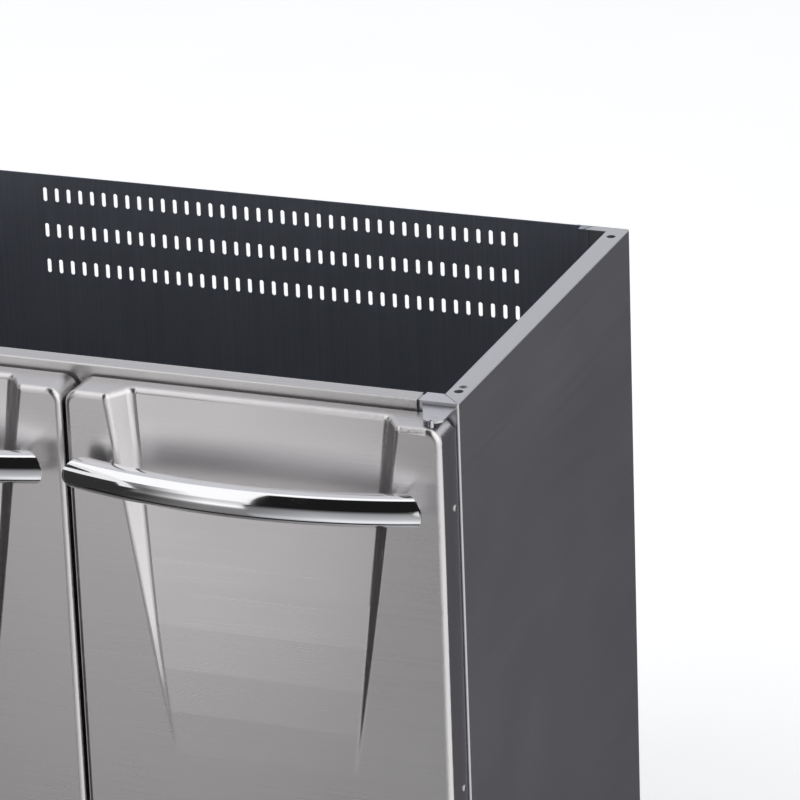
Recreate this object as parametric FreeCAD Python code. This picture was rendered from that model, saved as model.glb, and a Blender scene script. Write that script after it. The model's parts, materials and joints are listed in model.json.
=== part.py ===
import FreeCAD, Part
import math
import os

# Stainless base cabinet for an outdoor kitchen: an open-topped folded-sheet carcass with two
# pivot-hung, double-skin doors and four screw feet. Millimetres, +Z up, the front faces -Y, and
# the origin lies on the floor under the middle of the overall box.

V = FreeCAD.Vector
UP = V(0, 0, 1)
BACKWARD = V(0, 1, 0)
SIDEWAYS = V(1, 0, 0)

# Carcass
WIDTH = 776.0             # over the two side panels
DEPTH = 500.0             # side panels, front edge to rear face
HEIGHT = 820.0            # floor to the top flanges
FOOT_HEIGHT = 36.0        # floor to the underside of the carcass
SHEET = 1.2               # folded carcass sheet
BEND_R = 2.0              # outside radius of the carcass folds
FLANGE = 21.0             # side panel top flange, and the top depth of the rails
FRONT_FLANGE = 14.0       # side panel front return behind the door
FRONT_STRIP = 2.6         # what the front return leaves beside the hinge brackets
REAR_RETURN = 56.0        # side panel return across the back
BOTTOM_FLANGE = 58.0      # side panel return under the floor
REAR_LIP = 12.0           # depth of the lip along the top of the rear return
REAR_LIP_LENGTH = 38.5    # length of that lip from the side panel's outer face

# Rails
RAIL_GAP = 3.0            # slit between a rail's end and the hinge bracket
RAIL_FACE = 45.0          # height of a rail's front face
RAIL_LIP = 10.0           # height of a rail's rear lip
RAIL_SOCKET = 0.8         # depth of the screw sockets in a rail

# Back panel
BACK_SHEET = 1.0
BACK_REVEAL = 43.5        # rear return left bare beside the back panel
BACK_FOOT = 20.0          # depth of the back panel's bottom flange
TAB_LENGTH = 7.5          # top tab at each end of the back panel
TAB_DEPTH = 10.0
TAB_GAP = 1.2             # slit between the tab and the rear lip
LIP_SLANT = 6.0           # slant of the rear lip's end
SLOT_COUNT = 40
SLOT_PITCH = 13.6
SLOT_WIDTH = 4.6
SLOT_LENGTH = 15.5
SLOT_ROWS = 3
SLOT_ROW_PITCH = 40.2
SLOT_FIRST_DROP = 22.4    # top of the cabinet to the middle of the first row
RIVETS_PER_SIDE = 5
RIVET_TOP_DROP = 140.0    # top of the cabinet to the first back rivet
RIVET_BOTTOM_RISE = 60.0  # carcass underside to the last back rivet

# Floor
FLOOR_RISE = 34.0         # carcass underside to the floor's upper face
FLOOR_FIT = 0.2           # side clearance from the floor pan to the side panel's bottom fold

# Hinge brackets
BRACKET_LENGTH = 39.0     # along the front, from the side panel's outer face
BRACKET_HEIGHT = 30.0
BRACKET_WALL = 3.0
BRACKET_FIT = 0.1         # side clearance beside the front strip
SEAM = 0.7                # open mitre seam to the side flange
TONGUE_LENGTH = 50.0      # tongue under the side flange, measured from the front
TONGUE_SIDE = 3.0         # clearance from the outer face to the tongue
RAIL_TONGUE = 26.0        # tongue under the rail
RAIL_TONGUE_INSET = 4.0   # tongue edge to the rail's front and rear faces
BRACKET_CAP = 2.2         # thickness of the bracket's mitred cap
EAR_DROP = 3.8            # cabinet top to the ear's upper face
GROOVE_DEPTH = 1.8        # groove between cap and ear
EAR_THICKNESS = 2.0
EAR_NOSE_R = 10.6
LUG_R = 2.9               # slotted spring pin in the ear's nose
LUG_BORE_R = 1.3
LUG_SLOT = 1.4
LUG_IN = 1.8              # its axis behind the nose's tip
LUG_RISE = 0.5
LUG_AIR = 0.5             # its end to the door's top
PIVOT_IN = 13.5           # pivot axis from the side panel's outer face
PIVOT_OUT = 28.7          # pivot axis in front of the carcass
PIN_R = 3.0
PIN_LEAD = 1.0            # chamfer at the pin's end
PIN_REACH = 17.0          # pin below the ear
PIN_FIT = 0.02            # pin in the ear
RUN_FIT = 0.05            # running clearance, pin in bush and foot stud in socket

# Worktop fixing holes and bracket screws in the side flanges
FIXING_HOLE_R = 4.5
FIXING_IN = 11.0          # from the side panel's outer face
FIXING_FRONT = 30.5       # from the front
FIXING_REAR = 25.5        # from the rear
BRACKET_SCREW_FRONT = 42.5
SCREW_R = 2.0
SCREW_HEAD_R = 4.0
SCREW_HEAD = 2.2
SCREW_FIT = 0.1
SINK_FIT = 0.05           # countersunk head in its seat
RECESS_LENGTH = 4.6       # cross recess of the countersunk head
RECESS_WIDTH = 1.0
RECESS_DEPTH = 1.3

# Doors
DOOR_SHEET = 1.2
DOOR_GAP = 4.0            # carcass front to the door's back
DOOR_DEPTH = 40.5
SIDE_INSET = 2.0          # door side behind the side panel's outer face
MEETING_GAP = 3.0         # between the two doors
BUSH_FLANGE = 4.4         # spacer flange between door and ear
BUSH_GAP = 0.3            # bush flange to the ear
BUSH_FLANGE_R = 5.8
BUSH_R = 4.4
BUSH_LENGTH = 13.0
BUSH_FIT = 0.02
BLOCK_HALF_X = 9.5        # pivot block behind the door's top and bottom walls
BLOCK_FRONT = 9.5
BLOCK_BACK = 6.3
BLOCK_HEIGHT = 10.0
BLOCK_FIT = 0.3           # block to the inside of the skin
DOOR_CORNER_R = 15.0      # corners of the drawn door, seen from the front
DOOR_EDGE_R = 6.0         # rounding around the door's front
CORNER_CUT_Y = 14.0       # relief at the hinge-side rear corners of the skin
CORNER_CUT_Z = 12.6
SCOOP_DEPTH = 23.5        # drawn-in field behind the handle, at the door's top
SCOOP_RUN = 280.0         # height in which the field's slope would reach the flat door
SCOOP_STRAIGHT = 190.0    # straight part of that slope, before it eases into the flat door
SCOOP_EASING = 4          # steps of the easing
SCOOP_RUN_WALL = 6.5      # width of the fading wall where the field runs out
SCOOP_COLUMN = 40.0       # width of the standing column beside the field, at the top
SCOOP_FLARE = 0.15        # sideways growth of the column per millimetre of height
SCOOP_CREST_R = 8.0
SCOOP_ROOT_R = 10.0
SCOOP_WALL = math.radians(56.0)

# Door liner
LINER_FLANGE = 14.0
LINER_FIT = 0.15
LINER_AIR = 0.5           # top flange to the rounding inside the scooped field
LINER_PANEL_INSET = 45.0  # pressed panel in the liner
LINER_PANEL_DEPTH = 5.0
LINER_BEND_R = 3.0
SIDE_RIVET_BACK = 8.5     # side rivets in front of the door's back
SIDE_RIVET_END = 90.0     # first and last side rivet from the door's ends
SIDE_RIVETS = 3
RIVET_R = 2.4
RIVET_HEAD_R = 3.6
RIVET_HEAD = 1.1
RIVET_FIT = 0.05

# Handle
HANDLE_DROP = 74.5        # door top to the bar's axis
BAR_R = 16.0
BAR_WALL = 1.5
BAR_BOW = 24.0            # rise of the bar's axis from its ends to mid span
BAR_END_INSET = 24.25     # door edge to the end of the bar's axis
BAR_CLEAR = 28.2          # bar to the column face at mid span
BAR_MITRE = math.radians(37.0)
BAR_CAP = 2.0
BAR_CAP_EDGE = 0.9
POST_INSET = 22.0         # end of the bar's axis to the handle post
POST_R = 5.5
POST_FIT = 0.05           # post's seat to the bar
HANDLE_SCREW_R = 3.0
HANDLE_SCREW_HEAD_R = 4.8
HANDLE_SCREW_HEAD = 3.3
HANDLE_SCREW_GRIP = 5.0   # screw end past the bar's rear wall
HANDLE_SCREW_FIT = 0.1

# Catch
CATCH_IN = 24.0           # catch from the meeting line
CATCH_LENGTH = 40.0
CATCH_HEIGHT = 16.0
CATCH_DROP = 19.0         # cabinet top to the catch
CATCH_AIR = 0.3           # catch to strike plate
CATCH_EDGE_R = 2.0
STRIKE_THICKNESS = 0.8
STRIKE_MARGIN = 3.0       # strike plate past the catch, all round
BUMPER_R = 5.0
BUMPER_STEM_R = 1.9
BUMPER_STEM = 3.0
BUMPER_AIR = 0.3
BUMPER_IN = 40.0          # bumper from the door's free edge
BUMPER_RISE = 18.0        # bumper above the door's bottom

# Screw feet
FOOT_IN = 34.0            # foot axis from the side panel's outer face
FOOT_INSET_FRONT = 85.0
FOOT_INSET_REAR = 60.0
PAD_R = 22.0
PAD_TOP_R = 15.0
PAD_HEIGHT = 9.0
PAD_RIM = 3.0
PAD_EDGE_R = 1.2
STUD_R = 5.0
STUD_TOP = 48.0
HEX_ACROSS = 15.0
HEX_HEIGHT = 5.0
SOCKET_R = 9.0
SOCKET_FLANGE_R = 14.0
SOCKET_FLANGE = 2.0
SOCKET_HEIGHT = 20.0
STUD_HOLE_AIR = 0.8

# Working positions
SIDE_X = WIDTH / 2
BASE_Z = FOOT_HEIGHT
REACH = DOOR_GAP + DOOR_DEPTH + BAR_CLEAR + 2 * BAR_R
FRONT_Y = (REACH - DEPTH) / 2
REAR_Y = FRONT_Y + DEPTH
MIDDLE_Z = (BASE_Z + HEIGHT) / 2
DOOR_BACK = FRONT_Y - DOOR_GAP
DOOR_FACE = DOOR_BACK - DOOR_DEPTH
DOOR_TOP = HEIGHT - EAR_DROP - EAR_THICKNESS - BUSH_GAP - BUSH_FLANGE
DOOR_BOTTOM = 2 * MIDDLE_Z - DOOR_TOP
DOOR_FREE = MEETING_GAP / 2
DOOR_HINGE = SIDE_X - SIDE_INSET
DOOR_MIDDLE = (DOOR_FREE + DOOR_HINGE) / 2
BAR_HALF = (DOOR_HINGE - DOOR_FREE) / 2 - BAR_END_INSET
BAR_ARC_R = (BAR_HALF ** 2 + BAR_BOW ** 2) / (2 * BAR_BOW)
POST_HALF = BAR_HALF - POST_INSET
PIVOT_X = SIDE_X - PIVOT_IN
PIVOT_Y = FRONT_Y - PIVOT_OUT
HANDLE_Z = DOOR_TOP - HANDLE_DROP
FLOOR_TOP = BASE_Z + FLOOR_RISE
PAST = 1.0                # how far a cutting tool runs past a face


def box(x0, x1, y0, y1, z0, z1):
    return Part.makeBox(x1 - x0, y1 - y0, z1 - z0, V(x0, y0, z0))


def rod(radius, start, end):
    axis = end - start
    return Part.makeCylinder(radius, axis.Length, start, axis)


def prism(points, z0, z1):
    """Upright prism over a plan outline."""
    corners = [V(x, y, z0) for x, y in points]
    return Part.Face(Part.makePolygon(corners + corners[:1])).extrude(V(0, 0, z1 - z0))


def mirror_x(shape):
    return shape.mirror(V(0, 0, 0), SIDEWAYS)


def mirror_ends(shape):
    """The same piece at the carcass's other end, top to bottom."""
    return shape.mirror(V(0, 0, MIDDLE_Z), UP)


def group(shapes):
    return Part.makeCompound(shapes)


def edges_along(shape, direction, test):
    """Straight edges along a direction whose middle passes the test."""
    found = []
    for edge in shape.Edges:
        if edge.Curve.TypeId != "Part::GeomLine":
            continue
        if abs(edge.Curve.Direction.dot(direction)) < 0.999:
            continue
        if test(edge.CenterOfMass):
            found.append(edge)
    return found


def near(a, b):
    return abs(a - b) < 1e-4


def pan_head(radius, height, base, direction):
    """Low domed head standing on base."""
    crown = radius * 0.7
    head = Part.makeCone(radius, crown, height, base, direction)
    return head.fuse(Part.makeCylinder(radius, height / 3, base, direction)).removeSplitter()


def side_panel():
    """Right-hand folded side: top, front, rear and bottom returns around one outer face."""
    inner_x = SIDE_X - max(REAR_RETURN, BOTTOM_FLANGE)
    outside = box(inner_x, SIDE_X, FRONT_Y, REAR_Y, BASE_Z, HEIGHT)
    rim = [e for e in outside.Edges if near(e.CenterOfMass.x, SIDE_X)]
    outside = outside.makeFillet(BEND_R, rim)
    wall_x = SIDE_X - SHEET
    inside = box(inner_x - PAST, wall_x, FRONT_Y + SHEET, REAR_Y - SHEET, BASE_Z + SHEET, HEIGHT - SHEET)
    rim = [e for e in inside.Edges if near(e.CenterOfMass.x, wall_x)]
    inside = inside.makeFillet(BEND_R - SHEET, rim)
    panel = outside.cut(inside)
    low_x = inner_x - PAST
    lip_end = SIDE_X - REAR_LIP_LENGTH
    cuts = [
        box(low_x, SIDE_X - FLANGE, FRONT_Y - PAST, REAR_Y - REAR_LIP, HEIGHT - SHEET, HEIGHT + PAST),
        box(low_x, SIDE_X - REAR_RETURN, REAR_Y - SHEET, REAR_Y + PAST, BASE_Z + SHEET, HEIGHT + PAST),
        box(low_x, SIDE_X - FRONT_FLANGE, FRONT_Y - PAST, FRONT_Y + SHEET, BASE_Z + SHEET, HEIGHT),
        prism([(low_x, REAR_Y - REAR_LIP - PAST), (lip_end - LIP_SLANT, REAR_Y - REAR_LIP - PAST),
               (lip_end, REAR_Y - SHEET), (low_x, REAR_Y - SHEET)], HEIGHT - SHEET, HEIGHT + PAST),
    ]
    corner = [(SIDE_X - FRONT_STRIP, FRONT_Y - PAST), (SIDE_X - FRONT_STRIP, FRONT_Y + FRONT_STRIP),
              (SIDE_X - FLANGE, FRONT_Y + FLANGE), (low_x, FRONT_Y + FLANGE), (low_x, FRONT_Y - PAST)]
    notch_depth = BRACKET_HEIGHT + SEAM
    for z0, z1 in ((HEIGHT - SHEET, HEIGHT + PAST), (BASE_Z - PAST, BASE_Z + SHEET)):
        cuts.append(prism(corner, z0, z1))
    for z0, z1 in ((HEIGHT - notch_depth, HEIGHT), (BASE_Z, BASE_Z + notch_depth)):
        cuts.append(box(low_x, SIDE_X - FRONT_STRIP, FRONT_Y - PAST, FRONT_Y + SHEET, z0, z1))
    fixing_x = SIDE_X - FIXING_IN
    for y in (FRONT_Y + FIXING_FRONT, REAR_Y - FIXING_REAR):
        hole = V(fixing_x, y, HEIGHT)
        cuts.append(rod(FIXING_HOLE_R, hole - UP * (SHEET + PAST), hole + UP * PAST))
    sink = sunk_head(SINK_FIT)
    cuts += [sink, mirror_ends(sink)]
    for x, y in foot_places()[:2]:
        cuts.append(rod(STUD_R + STUD_HOLE_AIR, V(x, y, BASE_Z - PAST), V(x, y, BASE_Z + SHEET + PAST)))
    for x, z in back_rivet_places():
        cuts.append(rod(RIVET_R + RIVET_FIT, V(x, REAR_Y - SHEET - PAST, z), V(x, REAR_Y + PAST, z)))
    return panel.cut(cuts)


def sunk_head(clearance):
    """Countersunk head of the bracket screw, flush with the flange, grown by a clearance."""
    top = V(SIDE_X - FIXING_IN, FRONT_Y + BRACKET_SCREW_FRONT, HEIGHT)
    depth = SCREW_HEAD_R - SCREW_R
    cone = Part.makeCone(SCREW_HEAD_R + clearance, SCREW_R + clearance, depth, top, -UP)
    shank = rod(SCREW_R + clearance, top - UP * depth, top - UP * (SHEET + BRACKET_WALL))
    return cone.fuse(shank)


def foot_places():
    """Foot axes: right front, right rear, left front, left rear."""
    x = SIDE_X - FOOT_IN
    front = FRONT_Y + FOOT_INSET_FRONT
    rear = REAR_Y - FOOT_INSET_REAR
    return [(x, front), (x, rear), (-x, front), (-x, rear)]


def back_rivet_places():
    """Rivets through the right-hand overlap of the back panel and the rear return."""
    x = SIDE_X - (BACK_REVEAL + REAR_RETURN) / 2
    top = HEIGHT - RIVET_TOP_DROP
    step = (top - BASE_Z - RIVET_BOTTOM_RISE) / (RIVETS_PER_SIDE - 1)
    return [(x, top - i * step) for i in range(RIVETS_PER_SIDE)]


def slot_wire(x, z, y):
    """Round-ended upright slot."""
    r = SLOT_WIDTH / 2
    half = SLOT_LENGTH / 2 - r
    right = Part.makeLine(V(x + r, y, z - half), V(x + r, y, z + half))
    top = Part.Arc(V(x + r, y, z + half), V(x, y, z + half + r), V(x - r, y, z + half)).toShape()
    left = Part.makeLine(V(x - r, y, z + half), V(x - r, y, z - half))
    bottom = Part.Arc(V(x - r, y, z - half), V(x, y, z - half - r), V(x + r, y, z - half)).toShape()
    return Part.Wire([right, top, left, bottom])


def back_panel():
    """Vented sheet between the rear returns, with a bottom flange and a top tab at each end."""
    half = SIDE_X - BACK_REVEAL
    rear = REAR_Y - SHEET
    front = rear - BACK_SHEET
    low = BASE_Z + SHEET
    outline = Part.makePolygon([V(-half, front, low), V(half, front, low), V(half, front, HEIGHT),
                                V(-half, front, HEIGHT), V(-half, front, low)])
    first = -(SLOT_COUNT - 1) / 2 * SLOT_PITCH
    slots = []
    for row in range(SLOT_ROWS):
        z = HEIGHT - SLOT_FIRST_DROP - row * SLOT_ROW_PITCH
        slots += [slot_wire(first + i * SLOT_PITCH, z, front) for i in range(SLOT_COUNT)]
    face = Part.makeFace(group([outline] + slots), "Part::FaceMakerBullseye")
    sheet = face.extrude(BACKWARD * BACK_SHEET)
    foot = box(-half, half, front - BACK_FOOT, front, low, low + BACK_SHEET)
    tab_end = SIDE_X - REAR_LIP_LENGTH - TAB_GAP
    tab = prism([(half - TAB_LENGTH, front - TAB_DEPTH), (tab_end - LIP_SLANT, front - TAB_DEPTH),
                 (tab_end, rear), (half - TAB_LENGTH, rear)], HEIGHT - BACK_SHEET, HEIGHT)
    holes = []
    for x, z in back_rivet_places():
        for side in (x, -x):
            holes.append(rod(RIVET_R + RIVET_FIT, V(side, front - PAST, z), V(side, rear + PAST, z)))
    return sheet.fuse([foot, tab, mirror_x(tab)]).cut(holes).removeSplitter()


def back_rivets():
    """Rivets headed inside the cabinet and flush on its rear face."""
    rivets = []
    inner = REAR_Y - SHEET - BACK_SHEET
    for x, z in back_rivet_places():
        shank = rod(RIVET_R, V(x, inner, z), V(x, REAR_Y, z))
        rivet = shank.fuse(pan_head(RIVET_HEAD_R, RIVET_HEAD, V(x, inner, z), -BACKWARD))
        rivets += [rivet, mirror_x(rivet)]
    return group(rivets)


def top_rail():
    """Front rail: folded channel with a tall face and a short rear lip."""
    half = SIDE_X - BRACKET_LENGTH - RAIL_GAP
    outside = box(-half, half, FRONT_Y, FRONT_Y + FLANGE, HEIGHT - RAIL_FACE, HEIGHT)
    folds = edges_along(outside, SIDEWAYS, lambda c: near(c.z, HEIGHT))
    outside = outside.makeFillet(BEND_R, folds)
    roof = HEIGHT - SHEET
    inside = box(-half - PAST, half + PAST, FRONT_Y + SHEET, FRONT_Y + FLANGE - SHEET,
                 HEIGHT - RAIL_FACE - PAST, roof)
    folds = edges_along(inside, SIDEWAYS, lambda c: near(c.z, roof))
    rail = outside.cut(inside.makeFillet(BEND_R - SHEET, folds))
    spare_lip = box(-half - PAST, half + PAST, FRONT_Y + FLANGE - SHEET, FRONT_Y + FLANGE + PAST,
                    HEIGHT - RAIL_FACE - PAST, HEIGHT - RAIL_LIP)
    sockets = []
    for x, y in rail_screw_places():
        for side in (x, -x):
            seat = V(side, y, HEIGHT - SHEET)
            sockets.append(rod(SCREW_R + SCREW_FIT, seat - UP * PAST, seat + UP * RAIL_SOCKET))
    return rail.cut([spare_lip] + sockets)


def rail_screw_places():
    x = SIDE_X - BRACKET_LENGTH - (RAIL_GAP + RAIL_TONGUE) / 2
    return [(x, FRONT_Y + FLANGE / 2)]


def ear_outline(z):
    """Hinge ear: straight outer edge, round nose about the pivot, slanted inner edge."""
    root = V(SIDE_X - BRACKET_LENGTH + BRACKET_WALL, FRONT_Y, z)
    centre = V(PIVOT_X, PIVOT_Y, z)
    to_root = root - centre
    lean = math.atan2(to_root.y, to_root.x)
    turn = math.acos(EAR_NOSE_R / to_root.Length)
    touch_angle = lean + turn
    touch = centre + V(math.cos(touch_angle), math.sin(touch_angle), 0) * EAR_NOSE_R
    nose_angle = (touch_angle + 2 * math.pi) / 2
    nose = centre + V(math.cos(nose_angle), math.sin(nose_angle), 0) * EAR_NOSE_R
    outer = centre + SIDEWAYS * EAR_NOSE_R
    outer_root = V(outer.x, FRONT_Y + BRACKET_WALL / 2, z)
    inner_root = V(root.x, FRONT_Y + BRACKET_WALL / 2, z)
    return Part.Wire([
        Part.makeLine(inner_root, root),
        Part.makeLine(root, touch),
        Part.Arc(touch, nose, outer).toShape(),
        Part.makeLine(outer, outer_root),
        Part.makeLine(outer_root, inner_root),
    ])


def hinge_bracket():
    """Cast corner bracket, top right: mitred cap, two tongues and the ear that carries the pin."""
    left = SIDE_X - BRACKET_LENGTH
    right = SIDE_X - FRONT_STRIP - BRACKET_FIT
    rear = FRONT_Y + FLANGE
    low = HEIGHT - BRACKET_HEIGHT
    under = HEIGHT - SHEET
    mitre = SEAM * math.sqrt(2)
    cap = prism([(left, FRONT_Y), (right, FRONT_Y), (right, FRONT_Y + SIDE_X - right - mitre),
                 (SIDE_X - FLANGE - mitre, rear), (left, rear)], HEIGHT - BRACKET_CAP, HEIGHT)
    face = box(left, right, FRONT_Y, FRONT_Y + BRACKET_WALL, low, HEIGHT - BRACKET_CAP)
    web = box(left, left + BRACKET_WALL, FRONT_Y, rear, low, HEIGHT - BRACKET_CAP)
    middle = FRONT_Y + BRACKET_WALL / 2
    side_tongue = box(SIDE_X - FLANGE + TONGUE_SIDE, SIDE_X - TONGUE_SIDE, middle, FRONT_Y + TONGUE_LENGTH,
                      under - BRACKET_WALL, under)
    rail_tongue = box(left - RAIL_GAP - RAIL_TONGUE, left, FRONT_Y + RAIL_TONGUE_INSET,
                      rear - RAIL_TONGUE_INSET, under - BRACKET_WALL, under)
    ear_top = HEIGHT - EAR_DROP
    ear = Part.Face(ear_outline(ear_top)).extrude(UP * -EAR_THICKNESS)
    pivot = V(PIVOT_X, PIVOT_Y, ear_top)
    lug_y = PIVOT_Y - EAR_NOSE_R + LUG_IN
    lug_top = ear_top + LUG_RISE
    lug_end = DOOR_TOP + LUG_AIR
    lug = rod(LUG_R, V(PIVOT_X, lug_y, lug_top), V(PIVOT_X, lug_y, lug_end))
    lug_bore = rod(LUG_BORE_R, V(PIVOT_X, lug_y, lug_top + PAST), V(PIVOT_X, lug_y, lug_end - PAST))
    lug_slot = box(PIVOT_X - LUG_SLOT / 2, PIVOT_X + LUG_SLOT / 2, lug_y - LUG_R - PAST, lug_y,
                   lug_end - PAST, lug_top + PAST)
    groove = box(left + BRACKET_WALL, right + PAST, FRONT_Y - PAST, FRONT_Y + GROOVE_DEPTH, ear_top,
                 HEIGHT - BRACKET_CAP)
    body = cap.fuse([face, web, side_tongue, rail_tongue, ear, lug]).cut([groove, lug_bore, lug_slot])
    drills = [rod(PIN_R + PIN_FIT, pivot + UP * PAST, pivot - UP * (EAR_THICKNESS + PAST)),
              sunk_head(SINK_FIT)]
    places = [(SIDE_X - FIXING_IN, FRONT_Y + FIXING_FRONT, FIXING_HOLE_R)]
    places += [(x, y, SCREW_R + SCREW_FIT) for x, y in rail_screw_places()]
    for x, y, radius in places:
        drills.append(rod(radius, V(x, y, HEIGHT), V(x, y, under - BRACKET_WALL - PAST)))
    return body.cut(drills).removeSplitter()


def hinge_pin():
    """Pin pressed into the ear, down into the door's bush."""
    top = V(PIVOT_X, PIVOT_Y, HEIGHT - EAR_DROP)
    pin = rod(PIN_R, top, top - UP * (EAR_THICKNESS + PIN_REACH))
    return pin.makeChamfer(PIN_LEAD, [min(pin.Edges, key=lambda e: e.CenterOfMass.z)])


def bracket_screw():
    """Countersunk screw with a cross recess, through the side flange into the bracket's tongue."""
    x = SIDE_X - FIXING_IN
    y = FRONT_Y + BRACKET_SCREW_FRONT
    long = RECESS_LENGTH / 2
    wide = RECESS_WIDTH / 2
    floor = HEIGHT - RECESS_DEPTH
    recess = box(x - long, x + long, y - wide, y + wide, floor, HEIGHT + PAST)
    cross = recess.fuse(box(x - wide, x + wide, y - long, y + long, floor, HEIGHT + PAST))
    return sunk_head(0).cut(cross)


def rail_screw():
    """Screw from under the bracket's tongue into the rail."""
    x, y = rail_screw_places()[0]
    under = V(x, y, HEIGHT - SHEET - BRACKET_WALL)
    shank = rod(SCREW_R, under, V(x, y, HEIGHT - SHEET + RAIL_SOCKET - SCREW_FIT))
    return shank.fuse(pan_head(SCREW_HEAD_R, SCREW_HEAD, under, -UP))


def four_corners(shape):
    """A top right piece and its copies at the other three front corners."""
    right = [shape, mirror_ends(shape)]
    return right + [mirror_x(s) for s in right]


def floor_panel():
    """Raised floor pan with turned-down edges that stand on the bottom flanges."""
    half = SIDE_X - BEND_R - FLOOR_FIT
    front = FRONT_Y + FLANGE
    rear = REAR_Y - SHEET - BACK_SHEET
    low = BASE_Z + SHEET
    outside = box(-half, half, front, rear, low, FLOOR_TOP)
    outside = outside.makeFillet(BEND_R, [e for e in outside.Edges if near(e.CenterOfMass.z, FLOOR_TOP)])
    roof = FLOOR_TOP - SHEET
    inside = box(-half + SHEET, half - SHEET, front + SHEET, rear - SHEET, low - PAST, roof)
    inside = inside.makeFillet(BEND_R - SHEET, [e for e in inside.Edges if near(e.CenterOfMass.z, roof)])
    bracket_room = box(SIDE_X - BRACKET_LENGTH - RAIL_GAP, SIDE_X, front - PAST,
                       FRONT_Y + TONGUE_LENGTH + RAIL_GAP, low - PAST, BASE_Z + BRACKET_HEIGHT + SEAM)
    foot_room = box(-half - PAST, half + PAST, rear - BACK_FOOT, rear + PAST, low - PAST, low + BACK_SHEET)
    return outside.cut([inside, bracket_room, mirror_x(bracket_room), foot_room])


def scoop_front(inset, z, half, steps, crest_mid=None, root_mid=None):
    """Plan edges of the door front at one height, from the hinge side to the free side.

    steps holds the wall's four plan points as (inward, deep); the mid points turn its first and last
    stretch into arcs.
    """
    face = DOOR_FACE + inset

    def at(side, step):
        return V(DOOR_MIDDLE + side * (half - step[0]), face + step[1], z)

    def stretch(side, first, last, mid):
        if mid:
            return Part.Arc(at(side, first), at(side, mid), at(side, last)).toShape()
        return Part.makeLine(at(side, first), at(side, last))

    top, high, low, floor = steps
    return [
        Part.makeLine(V(DOOR_HINGE - inset, face, z), at(1, top)),
        stretch(1, top, high, crest_mid),
        stretch(1, high, low, None),
        stretch(1, low, floor, root_mid),
        Part.makeLine(at(1, floor), at(-1, floor)),
        stretch(-1, floor, low, root_mid),
        stretch(-1, low, high, None),
        stretch(-1, high, top, crest_mid),
        Part.makeLine(at(-1, top), V(DOOR_FREE + inset, face, z)),
    ]


def scoop_drops():
    """Heights below the door's top at which the field's form changes, down to where it has run out."""
    easing = 2 * (SCOOP_RUN - SCOOP_STRAIGHT)
    return [SCOOP_STRAIGHT + easing * i / SCOOP_EASING for i in range(SCOOP_EASING + 1)]


def scoop_share(drop):
    """Share of the field's full depth that is left at a height below the door's top."""
    if drop <= SCOOP_STRAIGHT:
        return 1 - drop / SCOOP_RUN
    start = 1 - SCOOP_STRAIGHT / SCOOP_RUN
    passed = (drop - SCOOP_STRAIGHT) / (2 * (SCOOP_RUN - SCOOP_STRAIGHT))
    return start * (1 - passed) ** 2


def scoop_section(inset, drop):
    """Door front at one height: crest, wall and root, flattened with the field's depth."""
    crest = SCOOP_CREST_R - inset
    root = SCOOP_ROOT_R + inset
    sine = math.sin(SCOOP_WALL)
    rise = 1 - math.cos(SCOOP_WALL)
    half_sine = math.sin(SCOOP_WALL / 2)
    half_rise = 1 - math.cos(SCOOP_WALL / 2)
    fall = SCOOP_DEPTH - (crest + root) * rise
    x1 = crest * sine
    x2 = x1 + fall / math.tan(SCOOP_WALL)
    x3 = x2 + root * sine
    y1 = crest * rise
    share = scoop_share(drop)

    def eased(x, y, place):
        return share * x + (1 - share) * SCOOP_RUN_WALL * place, share * y

    steps = [eased(0, 0, 0), eased(x1, y1, 1 / 3), eased(x2, y1 + fall, 2 / 3), eased(x3, SCOOP_DEPTH, 1)]
    half = (DOOR_HINGE - DOOR_FREE) / 2 - SCOOP_COLUMN - SCOOP_FLARE * drop
    if drop == scoop_drops()[-1]:
        return scoop_front(inset, DOOR_TOP - drop, half, steps)
    crest_mid = eased(crest * half_sine, crest * half_rise, 1 / 6)
    root_mid = eased(x3 - root * half_sine, SCOOP_DEPTH - root * half_rise, 5 / 6)
    return scoop_front(inset, DOOR_TOP - drop, half, steps, crest_mid, root_mid)


def door_form(inset):
    """Closed form of the door; the skin is this form less the same form moved in by the sheet."""
    face = DOOR_FACE + inset
    back = DOOR_BACK + (PAST if inset else 0)
    top = DOOR_TOP - inset
    bottom = DOOR_BOTTOM + inset
    left = DOOR_FREE + inset
    right = DOOR_HINGE - inset
    drops = [inset] + scoop_drops()
    run_z = DOOR_TOP - drops[-1]

    def section(drop):
        z = DOOR_TOP - drop
        rest = [
            Part.makeLine(V(left, face, z), V(left, back, z)),
            Part.makeLine(V(left, back, z), V(right, back, z)),
            Part.makeLine(V(right, back, z), V(right, face, z)),
        ]
        return Part.Wire(scoop_section(inset, drop) + rest)

    upper = Part.makeLoft([section(drop) for drop in reversed(drops)], True, True)
    lower = box(left, right, face, back, bottom, run_z)
    form = upper.fuse(lower).removeSplitter()
    corners = edges_along(form, BACKWARD, lambda c: near(c.z, top) or near(c.z, bottom))
    form = form.makeFillet(DOOR_CORNER_R - inset, corners)
    rims = []
    for edge in form.Edges:
        c = edge.CenterOfMass
        straight = edge.Curve.TypeId == "Part::GeomLine"
        if near(c.y, back) or straight and abs(edge.Curve.Direction.y) > 0.999:
            continue
        side = near(c.y, face) and (near(c.x, left) or near(c.x, right))
        corner = near(c.y, face) and edge.Curve.TypeId == "Part::GeomCircle"
        if side or corner or near(c.z, top) or near(c.z, bottom):
            rims.append(edge)
    return form.makeFillet(DOOR_EDGE_R - inset, rims)


def door_ends(shape):
    """A piece at the door's top and its copy at the bottom."""
    return [shape, mirror_ends(shape)]


def post_places():
    return [DOOR_MIDDLE - POST_HALF, DOOR_MIDDLE + POST_HALF]


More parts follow.
